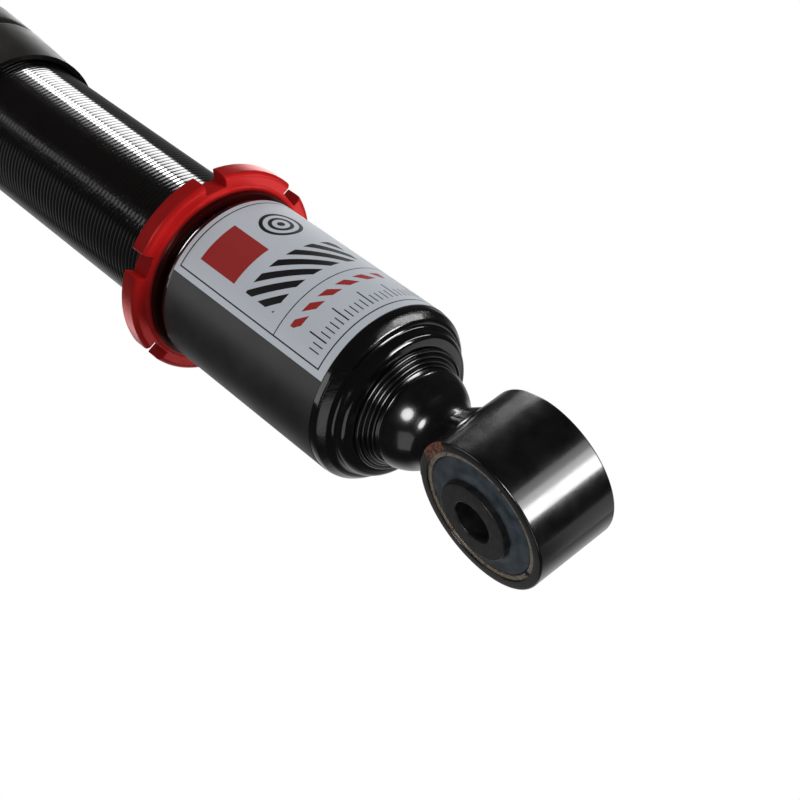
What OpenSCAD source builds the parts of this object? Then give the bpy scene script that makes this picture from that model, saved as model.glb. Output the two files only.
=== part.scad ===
// Height-adjustable damper of a coilover set, upright, millimetres.
// The origin is the centre of the lower eye, +Z runs up the damper axis and Y along the eye's bolt.

/* [Lower eye] */
// Outer diameter of the eye ring
eye_d = 51.2; // [48:0.1:54]
// Width of the eye ring
eye_w = 30.4; // [26:0.1:32]
// Wall of the eye ring
eye_wall = 3.3; // [2.5:0.1:4]
// Diameter of the hole for the lower bolt
bolt_hole_d = 14.2; // [10.2:0.1:16.2]
// Length of the bush's inner sleeve
sleeve_len = 36; // [34:0.5:42]

/* [Bottom bracket] */
// Outer diameter of the bracket that the body screws into
shell_d = 61.4; // [60:0.1:64]
// Height of the bracket's open end
shell_top = 139.8; // [125:0.1:150]
// Height of the bracket's floor, inside
shell_floor = 60; // [58:0.5:66]

/* [Damper body] */
// Thread diameter of the damper body
body_d = 52; // [52:0.5:54]
// Bore of the damper body
body_bore = 44; // [42:0.5:46]
// Height of the lower end of the damper body
body_bottom = 76; // [74:0.5:80]
// Height of the upper end of the damper body
body_top = 337; // [320:1:345]
// Pitch of the body's thread
thread_pitch = 2; // [1.5:0.5:3]

/* [Lock ring] */
// Outer diameter of the lock ring
ring_d = 75.6; // [72:0.1:78]
// Thickness of the ring's flange
flange_t = 7.3; // [6:0.1:9]
// Whole height of the ring, hub and flange
ring_h = 10.2; // [9:0.1:12]
// Number of spanner notches
notches = 6; // [4:1:8]
// Width of a spanner notch
notch_w = 8; // [7:0.5:10]
// Depth of a spanner notch
notch_depth = 4.1; // [3:0.1:4.5]
// Angle of the first notch, seen from above
notch_phase = 5.6; // [0:0.1:59]

/* [Rod] */
// Diameter of the piston rod
rod_d = 14; // [12.5:0.5:16]
// Stroke of the damper
stroke = 95; // [60:1:100]
// Bore of the rod for the needle
needle_d = 4; // [3:0.5:5]

/* [Dust boot] */
// Outer radius of the boot at its mouth
mouth_r = 29.1; // [28.8:0.1:31]
// Height of the boot's mouth at the body's axis
mouth_z = 272.7; // [262:0.1:280]
// Lean of the boot's mouth
mouth_lean = 8; // [0:0.5:10]
// Wall of the boot
boot_wall = 1.8; // [1.5:0.1:1.9]
// Number of folds
folds = 8; // [5:1:10]

/* [Top mount] */
// Distance between the two studs
stud_spacing = 76; // [70:1:90]
// Diameter of a stud
stud_d = 10; // [8:1:10]
// Thickness of the mount plate
plate_t = 8.5; // [8:0.5:10]

/* [Hidden] */
$fn = 96;

gap = 0.05; // running clearance on the radius
cut = 1; // overshoot of cutting tools

eye_r = eye_d / 2;
bush_r = eye_r - eye_wall;
sleeve_wall = 1.5;
inner_sleeve_r = 13.5;
collar_r = 16; // foot of the rubber's collar round the inner sleeve
collar_rise = 1;

shell_r = shell_d / 2;
body_r = body_d / 2;
bore_r = body_bore / 2;
neck_r = 11.7;
spigot_r = 17;
collar_top = 48.6;

ring_r = ring_d / 2;
ring_bottom = shell_top;
flange_bottom = ring_bottom + ring_h - flange_t;
hub_r = 31.5;

plug_flange = 2;
plug_t = 12;
valve_r = 4;

rod_r = rod_d / 2;
stud_end_r = 5; // the rod's threaded ends, M10
rod_bore_r = needle_d / 2 + gap;
head_bottom = 318;
head_top = 334;
ring_groove_t = 1.6;
cap_t = 5;
cap_top = body_top + cap_t;
piston_bottom = 284;
piston_t = 14;
shim_t = 0.4;
shim_count = 4;
shim_step = 2.2;
shims_h = shim_t * shim_count;
washer_t = 1.4;
rod_shoulder = piston_bottom + piston_t + shims_h + washer_t;
nut_t = 8;
nut_flats = 17;
rod_bottom = piston_bottom - shims_h - nut_t - 2;
port_z = rod_shoulder + 2.5;
stop_bottom = rod_shoulder + 5;

bump_bottom = cap_top + stroke + 1;
bump_h = 36;
rod_step = bump_bottom + bump_h;
cup_t = 2.5;
spacer_h = 11.5;
ball_r = 11;
ball_h = 12;
ball_z = rod_step + cup_t + spacer_h + ball_h / 2;
upper_spacer_h = 4;
nut_z = ball_z + ball_h / 2 + upper_spacer_h;
rod_top = nut_z + nut_t + 3;
knob_h = 14;

race_h = 8;
race_r = 13;
clip_t = 1.2;
plate_top = ball_z + race_h / 2 + 2;
housing_bottom = ball_z - race_h / 2 - 3;
housing_r = 20;
plate_r = 26;
ear_r = 12;
stud_h = 25;
stud_press = 0.2; // the pressed shank is thicker than the thread

float_bottom = 126;
float_h = 15;

// Points on an arc in the outline's plane, from angle a0 to a1
function arc(cx, cy, r, a0, a1, n = 8) =
    [for (i = [0:n]) let (a = a0 + (a1 - a0) * i / n) [cx + r * cos(a), cy + r * sin(a)]];

// A tube of revolution about Z
module tube(r_out, r_in, z, h) {
    translate([0, 0, z])
        difference() {
            cylinder(r = r_out, h = h);
            translate([0, 0, -cut])
                cylinder(r = r_in, h = h + 2 * cut);
        }
}

// A tube about Y, centred on the eye, with small chamfers at its outer edges
module eye_tube(r_out, r_in, w, chamfer) {
    rotate([90, 0, 0])
        rotate_extrude()
            polygon([
                [r_in, -w / 2], [r_out - chamfer, -w / 2], [r_out, -w / 2 + chamfer],
                [r_out, w / 2 - chamfer], [r_out - chamfer, w / 2], [r_in, w / 2]
            ]);
}

// The space that the eye ring takes
module eye_space() {
    rotate([90, 0, 0])
        cylinder(r = eye_r, h = 3 * eye_w, center = true);
}

// A round section ring about Z
module o_ring(r, z, section) {
    translate([0, 0, z])
        rotate_extrude()
            translate([r, 0])
                circle(r = section, $fn = 24);
}

// A hexagon nut about Z with a bore
module hex_nut(flats, h, bore, z) {
    translate([0, 0, z])
        difference() {
            intersection() {
                cylinder(r = flats / sqrt(3), h = h, $fn = 6);
                rotate_extrude()
                    polygon([
                        [0, 0], [flats / 2, 0], [flats / sqrt(3), 1], [flats / sqrt(3), h - 1],
                        [flats / 2, h], [0, h]
                    ]);
            }
            translate([0, 0, -cut])
                cylinder(r = bore, h = h + 2 * cut);
        }
}

module eye_ring() {
    color("#141414")
        eye_tube(eye_r, bush_r, eye_w, 0.6);
}

module bush_outer_sleeve() {
    color("#8f857a")
        eye_tube(bush_r, bush_r - sleeve_wall, eye_w - 0.8, 0.3);
}

// Rubber with flat faces that rise to a low collar round the inner sleeve
module bush_rubber() {
    r_out = bush_r - sleeve_wall;
    r_in = inner_sleeve_r + gap;
    face = eye_w / 2 - 0.5;
    side = [
        [r_out, face - 0.8], [r_out - 0.6, face - 0.1], [collar_r, face], [r_in + 0.7, face + collar_rise],
        [r_in, face + collar_rise]
    ];
    color("#2c3842")
        rotate([90, 0, 0])
            rotate_extrude()
                polygon(concat(side, [for (i = [len(side) - 1:-1:0]) [side[i][0], -side[i][1]]]));
}

module bush_inner_sleeve() {
    chamfer = 0.4;
    hole_r = bolt_hole_d / 2;
    half = sleeve_len / 2;
    color("#333333")
        rotate([90, 0, 0])
            rotate_extrude()
                polygon([
                    [hole_r, -half + chamfer], [hole_r + chamfer, -half],
                    [inner_sleeve_r - chamfer, -half], [inner_sleeve_r, -half + chamfer],
                    [inner_sleeve_r, half - chamfer], [inner_sleeve_r - chamfer, half],
                    [hole_r + chamfer, half], [hole_r, half - chamfer]
                ]);
}

// Turned stem: a neck that swells into a boss with a sharp rim, then a groove and weld ripples
module eye_stem() {
    ripples = [[17.2, 44.9], [18.1, 46.1], [19.3, 47.1], [20.9, 47.8]];
    ripple_r = 0.75;
    fillet = 7.5;
    boss_r = 17;
    color("#101010")
        difference() {
            rotate_extrude()
                polygon(concat(
                    [[0, 12], [neck_r, 12]],
                    arc(neck_r + fillet, 28.6, fillet, 180, 139, 5),
                    arc(0.8, 44.8, boss_r, -41, -12.3, 6),
                    [[17.3, 41.8], [15.8, 42.3], [15.8, 43.6]],
                    [for (p = ripples, q = arc(p[0], p[1], ripple_r, -130, 40, 5)) q],
                    [[20.9, collar_top], [spigot_r, collar_top], [spigot_r, shell_floor - 1],
                     [0, shell_floor - 1]]
                ));
            eye_space();
        }
}

// Weld fillet that follows the saddle where the stem meets the eye
module stem_weld() {
    color("#181818")
        difference() {
            rotate_extrude()
                polygon([
                    [neck_r, 15], [15, 15], [15, 23], [14.2, 24.8], [13.2, 26.3],
                    [12.3, 27.8], [neck_r, 29]
                ]);
            eye_space();
        }
}

// Cup with a stepped, rounded closed end
module bracket_shell() {
    edge = 2.2;
    step_r = 2.3;
    step_x = 23.6;
    step_z = 51.2;
    color("#1c1c1c")
        rotate_extrude()
            polygon(concat(
                [[spigot_r, collar_top], [22.4, collar_top]],
                arc(step_x, step_z, step_r, -90, 0, 6),
                arc(step_x + step_r + 1.7, 51.9, 1.6, 180, 90, 4),
                [[28.4, 53.9], [29.8, 55.5], [shell_r - 0.3, 56.5], [shell_r, 57.6]],
                arc(shell_r - edge, shell_top - edge, edge, 0, 90, 6),
                [[body_r + gap + 0.6, shell_top], [body_r + gap, shell_top - 0.6],
                 [body_r + gap, shell_floor], [spigot_r, shell_floor]]
            ));
}

// Nut with a notched flange and a coved face towards the bracket
module lock_ring() {
    cove = 2.3;
    bevel = 0.5;
    top = ring_bottom + ring_h;
    color("#b01010")
        difference() {
            rotate_extrude()
                polygon(concat(
                    [[body_r + gap, ring_bottom + 0.5], [body_r + gap + 0.5, ring_bottom],
                     [hub_r - 0.5, ring_bottom], [hub_r, ring_bottom + 0.5]],
                    arc(hub_r + cove, flange_bottom - cove, cove, 180, 90, 6),
                    [[ring_r - bevel, flange_bottom], [ring_r, flange_bottom + bevel],
                     [ring_r, top - 0.5], [ring_r - 0.5, top],
                     [body_r + gap + 0.5, top], [body_r + gap, top - 0.5]]
                ));
            for (i = [0:notches - 1])
                rotate([0, 0, notch_phase + i * 360 / notches])
                    translate([ring_r - notch_depth, -notch_w / 2, ring_bottom - cut])
                        cube([notch_depth + 2 * cut, notch_w, ring_h + 2 * cut]);
        }
}

// Tube with its screw thread drawn as equal ring grooves
module body_tube() {
    root_r = body_r - 0.6 * thread_pitch;
    first = body_bottom + 4;
    turns = floor((body_top - 3 - first) / thread_pitch);
    groove = [[body_r, 0.15], [root_r, 0.47], [root_r, 0.68], [body_r, 1]];
    color("#0f0f0f")
        difference() {
            rotate_extrude()
                polygon(concat(
                    [[bore_r, body_bottom], [body_r - 0.6, body_bottom], [body_r, body_bottom + 0.6]],
                    [for (i = [0:turns - 1], p = groove) [p[0], first + (i + p[1]) * thread_pitch]],
                    [[body_r, body_top], [bore_r, body_top]]
                ));
            tube(bore_r + 0.8, bore_r - cut, head_top, ring_groove_t);
        }
}

// Closes the lower end of the body, with the filling valve in a recess from below
module base_plug() {
    groove_z = body_bottom + 5;
    color("#777777")
        difference() {
            union() {
                translate([0, 0, body_bottom - plug_flange])
                    cylinder(r = body_r, h = plug_flange);
                translate([0, 0, body_bottom])
                    cylinder(r = bore_r, h = plug_t);
            }
            tube(bore_r + cut, bore_r - 2, groove_z, 2.6);
            translate([0, 0, body_bottom - plug_flange - cut])
                cylinder(r = 9, h = 4 + cut);
            translate([0, 0, body_bottom - cut])
                cylinder(r = valve_r, h = plug_t + 2 * cut);
        }
}

module base_oring() {
    color("#222222")
        tube(bore_r, bore_r - 2, body_bottom + 5, 2.6);
}

// Filling valve, its neck and cap inside the plug's recess
module gas_valve() {
    color("goldenrod")
        rotate_extrude()
            polygon([
                [0, body_bottom - 1.2], [3, body_bottom - 1.2], [3.4, body_bottom - 0.8],
                [3.4, body_bottom + 1.2], [6.5, body_bottom + 1.2], [6.5, body_bottom + 2],
                [valve_r, body_bottom + 2], [valve_r, body_bottom + plug_t], [0, body_bottom + plug_t]
            ]);
}

// Guide and seal carrier at the upper end of the body
module seal_head() {
    color("#9a9a9a")
        difference() {
            translate([0, 0, head_bottom])
                cylinder(r = bore_r, h = head_top - head_bottom);
            tube(bore_r + cut, bore_r - 2, head_bottom + 6, 2.6);
            translate([0, 0, head_bottom - cut])
                cylinder(r = rod_r + 2, h = 12 + cut);
            translate([0, 0, head_bottom + 11])
                cylinder(r = rod_r + 4, h = 6);
        }
}

module guide_bush() {
    color("#b08040")
        tube(rod_r + 2, rod_r + 0.03, head_bottom, 11);
}

module rod_seal() {
    color("#20242a")
        tube(rod_r + 4, rod_r + gap, head_bottom + 11, head_top - head_bottom - 11);
}

module seal_head_oring() {
    color("#222222")
        tube(bore_r, bore_r - 2, head_bottom + 6, 2.6);
}

// Wire ring in the body's groove, open on one side
module retaining_ring() {
    color("silver")
        difference() {
            tube(bore_r + 0.8, bore_r - 1.4, head_top, ring_groove_t);
            translate([0, -3, head_top - cut])
                cube([bore_r + 2, 6, ring_groove_t + 2 * cut]);
        }
}

// Screwed end cap with two pin holes and the wiper's seat
module body_cap() {
    spigot_z = head_top + ring_groove_t;
    color("#1a1a1a")
        difference() {
            union() {
                translate([0, 0, spigot_z])
                    cylinder(r = bore_r, h = body_top - spigot_z);
                translate([0, 0, body_top])
                    cylinder(r = body_r, h = cap_t - 0.8);
                translate([0, 0, cap_top - 0.8])
                    cylinder(r1 = body_r, r2 = body_r - 0.8, h = 0.8);
            }
            translate([0, 0, spigot_z - cut])
                cylinder(r = rod_r + 1, h = cap_t * 3);
            translate([0, 0, body_top])
                cylinder(r = rod_r + 4, h = cap_t + cut);
            for (side = [-1, 1])
                translate([side * 18, 0, cap_top - 3])
                    cylinder(r = 2, h = 3 + cut);
        }
}

module wiper_seal() {
    color("#1e1e24")
        rotate_extrude()
            polygon([
                [rod_r + gap, body_top], [rod_r + 4, body_top], [rod_r + 4, cap_top - 0.5],
                [rod_r + 2, cap_top - 0.5], [rod_r + gap + 0.4, cap_top + 0.4],
                [rod_r + gap, cap_top + 0.4]
            ]);
}

// Rubber boot: a loose leaning cuff, a cone with one crease, then folds up to the cup plate
module dust_boot() {
    crease_z = 301;
    shoulder_z = 324;
    first_fold = 336;
    crown_r = 33.4;
    valley_r = 29;
    boot_top = rod_step - 0.3;
    collar_h = 10;
    pitch = (boot_top - collar_h - first_fold) / folds;
    outline = concat(
        [[mouth_r - 1, mouth_z - 12], [mouth_r, mouth_z], [31.2, crease_z - 2], [30.6, crease_z],
         [31.3, crease_z + 2], [32.8, shoulder_z]],
        [for (i = [0:folds - 1], p = [[valley_r, 0], [crown_r, 0.4], [crown_r, 0.6]])
            [p[0], first_fold + (i + p[1]) * pitch]],
        [[valley_r, boot_top - collar_h], [32, boot_top - collar_h + 2], [32, boot_top]]
    );
    inner = [for (i = [len(outline) - 1:-1:0]) [outline[i][0] - boot_wall, outline[i][1]]];
    color("#3a3a38")
        difference() {
            rotate_extrude()
                polygon(concat(outline, inner));
            translate([0, 0, mouth_z])
                rotate([-mouth_lean, 0, 0])
                    translate([0, 0, -30])
                        cube([90, 90, 60], center = true);
        }
}

module floating_piston() {
    color("#a8a8a8")
        difference() {
            translate([0, 0, float_bottom])
                cylinder(r = bore_r - gap, h = float_h);
            translate([0, 0, float_bottom - cut])
                cylinder(r = bore_r - 5, h = float_h - 5 + cut);
            tube(bore_r + cut, bore_r - 2, float_bottom + 6, 3);
        }
}

module floating_oring() {
    color("#222222")
        tube(bore_r - gap, bore_r - 2, float_bottom + 6, 3);
}

// Hollow rod with a threaded end at the piston and another at the top mount
module piston_rod() {
    color("#d8d8dc")
        difference() {
            rotate_extrude()
                polygon([
                    [0, rod_bottom], [stud_end_r - 0.8, rod_bottom], [stud_end_r, rod_bottom + 0.8],
                    [stud_end_r, rod_shoulder], [rod_r, rod_shoulder], [rod_r, rod_step],
                    [stud_end_r, rod_step], [stud_end_r, rod_top - 0.8], [stud_end_r - 0.8, rod_top],
                    [0, rod_top]
                ]);
            translate([0, 0, rod_bottom - cut])
                cylinder(r = rod_bore_r, h = rod_top - rod_bottom + 2 * cut);
            translate([0, 0, port_z])
                rotate([90, 0, 0])
                    cylinder(r = 1.2, h = 2 * rod_d, center = true);
        }
}

// Piston with two rings of oil ports and a groove for its band
module piston() {
    port_r = 1.8;
    color("#8c8c90")
        difference() {
            translate([0, 0, piston_bottom])
                cylinder(r = bore_r - 0.4, h = piston_t);
            translate([0, 0, piston_bottom - cut])
                cylinder(r = stud_end_r, h = piston_t + 2 * cut);
            tube(bore_r + cut, bore_r - 1.6, piston_bottom + 3, piston_t - 6);
            for (i = [0:5]) {
                rotate([0, 0, i * 60])
                    translate([10.5, 0, piston_bottom - cut])
                        cylinder(r = port_r, h = piston_t + 2 * cut);
                rotate([0, 0, 30 + i * 60])
                    translate([16.5, 0, piston_bottom - cut])
                        cylinder(r = port_r, h = piston_t + 2 * cut);
            }
        }
}

module piston_band() {
    color("#5a3a20")
        tube(bore_r - gap, bore_r - 1.6, piston_bottom + 3, piston_t - 6);
}

// A stack of discs that gets smaller away from the piston
module shim_stack(start_r, z, direction) {
    for (i = [0:shim_count - 1])
        translate([0, 0, z + direction * shim_t * (i + (direction < 0 ? 1 : 0))])
            cylinder(r = start_r - shim_step * i, h = shim_t);
}

module compression_shims() {
    color("#b8bcc0")
        difference() {
            shim_stack(15, piston_bottom, -1);
            translate([0, 0, piston_bottom - shims_h - cut])
                cylinder(r = stud_end_r, h = shims_h + 2 * cut);
        }
}

module rebound_shims() {
    z = piston_bottom + piston_t;
    color("#b8bcc0")
        difference() {
            union() {
                shim_stack(19, z, 1);
                translate([0, 0, z + shims_h])
                    cylinder(r = rod_r + 3, h = washer_t);
            }
            translate([0, 0, z - cut])
                cylinder(r = stud_end_r, h = shims_h + washer_t + 2 * cut);
        }
}

module piston_nut() {
    color("#c0c4c8")
        hex_nut(nut_flats, nut_t, stud_end_r, piston_bottom - shims_h - nut_t);
}

module rebound_stop() {
    color("#c8a848")
        tube(rod_r + 5, rod_r, stop_bottom, head_bottom - 0.3 - stop_bottom);
}

// Foam stop with three lobes
module bump_stop() {
    lobes = 3;
    pitch = bump_h / lobes;
    color("#d8c070")
        rotate_extrude()
            polygon(concat(
                [[rod_r, bump_bottom], [14, bump_bottom]],
                [for (i = [0:lobes - 1], p = arc(14.5, 0.5, 0.45, -70, 70, 6))
                    [14 + i + (p[0] - 14.5) * 9, bump_bottom + (i + p[1]) * pitch]],
                [[16, rod_step], [rod_r, rod_step]]
            ));
}

// Cup plate that closes the boot and backs the bump stop
module boot_plate() {
    color("#202020")
        rotate_extrude()
            polygon([
                [stud_end_r, rod_step], [31, rod_step], [32.6, rod_step + 0.4], [33, rod_step + 1.4],
                [33, rod_step + cup_t], [stud_end_r, rod_step + cup_t]
            ]);
}

module lower_spacer() {
    z = rod_step + cup_t;
    color("silver")
        rotate_extrude()
            polygon([
                [stud_end_r, z], [10, z], [10, z + 2], [6.6, z + spacer_h - 2],
                [6.6, z + spacer_h], [stud_end_r, z + spacer_h]
            ]);
}

// Ball of the spherical bearing
module bearing_ball() {
    color("#c8ccd0")
        translate([0, 0, ball_z])
            difference() {
                intersection() {
                    sphere(r = ball_r);
                    cylinder(r = ball_r + cut, h = ball_h, center = true);
                }
                cylinder(r = stud_end_r, h = ball_h + 2 * cut, center = true);
            }
}

module upper_spacer() {
    color("silver")
        tube(7.5, stud_end_r, ball_z + ball_h / 2, upper_spacer_h);
}

module top_nut() {
    color("#c0c4c8")
        hex_nut(nut_flats, nut_t, stud_end_r, nut_z);
}

module bearing_race() {
    color("#6c7074")
        translate([0, 0, ball_z])
            difference() {
                cylinder(r = race_r, h = race_h, center = true);
                sphere(r = ball_r + gap);
            }
}

module bearing_circlip() {
    color("#303030")
        difference() {
            tube(race_r + 0.6, race_r - 1.4, ball_z + race_h / 2, clip_t);
            translate([0, -2.5, ball_z + race_h / 2 - cut])
                cube([race_r + 2, 5, clip_t + 2 * cut]);
        }
}

// Outline of the two-bolt plate: a disc, two ears and straight sides that end just inside them
module plate_outline() {
    half = stud_spacing / 2;
    inset = 0.12;
    a = acos((plate_r - ear_r) / half);
    near_r = plate_r - inset;
    far_r = ear_r - inset;
    circle(r = plate_r);
    for (side = [0, 180])
        rotate(side) {
            translate([half, 0])
                circle(r = ear_r);
            polygon([
                near_r * [cos(a), -sin(a)], [half, 0] + far_r * [cos(a), -sin(a)],
                [half, 0] + far_r * [cos(a), sin(a)], near_r * [cos(a), sin(a)]
            ]);
        }
}

module mount_plate() {
    color("#1c1c1e")
        difference() {
            union() {
                translate([0, 0, plate_top - plate_t])
                    linear_extrude(plate_t)
                        plate_outline();
                translate([0, 0, housing_bottom])
                    cylinder(r1 = housing_r - 1, r2 = housing_r, h = plate_top - plate_t - housing_bottom);
            }
            translate([0, 0, ball_z - race_h / 2])
                cylinder(r = race_r, h = 2 * race_h);
            translate([0, 0, housing_bottom - cut])
                cylinder(r = race_r - 1.5, h = race_h);
            translate([0, 0, ball_z + race_h / 2])
                cylinder(r = race_r + 0.6, h = clip_t);
            for (side = [-1, 1])
                translate([side * stud_spacing / 2, 0, plate_top - plate_t - cut])
                    cylinder(r = stud_d / 2 + stud_press, h = plate_t + 2 * cut);
        }
}

// Two pressed-in studs with round heads under the plate
module mount_studs() {
    r = stud_d / 2;
    color("#b8bcc0")
        for (side = [-1, 1])
            translate([side * stud_spacing / 2, 0, 0])
                rotate_extrude()
                    polygon([
                        [0, plate_top - plate_t - 3], [7, plate_top - plate_t - 3],
                        [7.5, plate_top - plate_t - 2.5], [7.5, plate_top - plate_t],
                        [r + stud_press, plate_top - plate_t], [r + stud_press, plate_top],
                        [r, plate_top], [r, plate_top + stud_h - 1],
                        [r - 1, plate_top + stud_h], [0, plate_top + stud_h]
                    ]);
}

// Fluted knob that turns the needle
module adjuster_knob() {
    flutes = 12;
    knob_r = 9;
    z = rod_top + 0.5;
    color("#b01010")
        difference() {
            translate([0, 0, z])
                rotate_extrude()
                    polygon([
                        [0, 0], [knob_r - 0.8, 0], [knob_r, 0.8], [knob_r, knob_h - 1.2],
                        [knob_r - 1.2, knob_h], [0, knob_h]
                    ]);
            for (i = [0:flutes - 1])
                rotate([0, 0, i * 360 / flutes])
                    translate([knob_r + 1, 0, z + 3])
                        cylinder(r = 1.8, h = knob_h);
            translate([0, 0, z - cut])
                cylinder(r = needle_d / 2, h = 6 + cut);
        }
}

// Needle that closes the rod's bleed port
module needle_rod() {
    tip_z = rod_shoulder + 2;
    color("#d0d0d0")
        rotate_extrude()
            polygon([
                [0, tip_z], [0.4, tip_z], [needle_d / 2, tip_z + 8], [needle_d / 2, rod_top + 6.5],
                [0, rod_top + 6.5]
            ]);
}

eye_ring();
stem_weld();
eye_stem();
bracket_shell();
bush_outer_sleeve();
bush_rubber();
bush_inner_sleeve();
lock_ring();
body_tube();
base_plug();
base_oring();
gas_valve();
seal_head();
guide_bush();
rod_seal();
wiper_seal();
seal_head_oring();
retaining_ring();
body_cap();
dust_boot();
floating_piston();
floating_oring();
piston_rod();
piston();
piston_band();
compression_shims();
rebound_shims();
piston_nut();
rebound_stop();
bump_stop();
boot_plate();
lower_spacer();
bearing_ball();
upper_spacer();
top_nut();
adjuster_knob();
needle_rod();
mount_plate();
bearing_race();
bearing_circlip();
mount_studs();
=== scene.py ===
import math

import bmesh
import bpy
from mathutils import Matrix, Vector, noise


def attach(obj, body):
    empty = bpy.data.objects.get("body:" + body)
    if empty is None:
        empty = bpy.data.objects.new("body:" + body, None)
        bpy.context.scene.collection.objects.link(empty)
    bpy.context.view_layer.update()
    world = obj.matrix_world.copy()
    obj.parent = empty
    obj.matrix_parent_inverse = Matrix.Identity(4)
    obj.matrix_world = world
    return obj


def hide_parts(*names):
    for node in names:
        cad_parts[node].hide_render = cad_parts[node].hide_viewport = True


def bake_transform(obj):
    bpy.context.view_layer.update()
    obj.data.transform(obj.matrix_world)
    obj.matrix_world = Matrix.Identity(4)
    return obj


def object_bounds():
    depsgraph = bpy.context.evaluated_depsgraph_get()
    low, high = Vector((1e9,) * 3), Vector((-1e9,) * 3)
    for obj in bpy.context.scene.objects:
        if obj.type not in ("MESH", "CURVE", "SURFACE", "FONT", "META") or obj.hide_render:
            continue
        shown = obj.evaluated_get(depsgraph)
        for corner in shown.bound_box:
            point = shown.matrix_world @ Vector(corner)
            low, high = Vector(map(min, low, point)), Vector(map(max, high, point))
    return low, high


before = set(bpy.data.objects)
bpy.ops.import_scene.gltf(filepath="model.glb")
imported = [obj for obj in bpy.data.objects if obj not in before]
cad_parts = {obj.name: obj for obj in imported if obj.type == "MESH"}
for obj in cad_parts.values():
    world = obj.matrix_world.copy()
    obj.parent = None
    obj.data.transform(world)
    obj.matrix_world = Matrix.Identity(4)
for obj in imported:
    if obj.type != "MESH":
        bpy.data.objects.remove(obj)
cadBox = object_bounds()
scene = bpy.context.scene
mm = 0.001


def srgb(code):  # "#rrggbb" to a linear colour
    parts = [int(code[i:i + 2], 16) / 255 for i in (1, 3, 5)]
    return tuple(c / 12.92 if c <= 0.04045 else ((c + 0.055) / 1.055) ** 2.4 for c in parts) + (1,)


def addNode(tree, kind, inputs=None, **settings):
    node = tree.nodes.new(kind)
    for name, value in settings.items():
        setattr(node, name, value)
    for key, value in (inputs or {}).items():
        if isinstance(value, bpy.types.NodeSocket):
            tree.links.new(value, node.inputs[key])
        else:
            node.inputs[key].default_value = value
    return node


def split(tree, vector):  # the X, Y and Z sockets of a vector
    return addNode(tree, "ShaderNodeSeparateXYZ", {0: vector}).outputs


def distance(tree, place, point=(0, 0, 0)):
    return addNode(tree, "ShaderNodeVectorMath", {0: place, 1: point}, operation="DISTANCE").outputs["Value"]


# studio: the part lies in front of a white backdrop, lit by soft boxes

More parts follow.
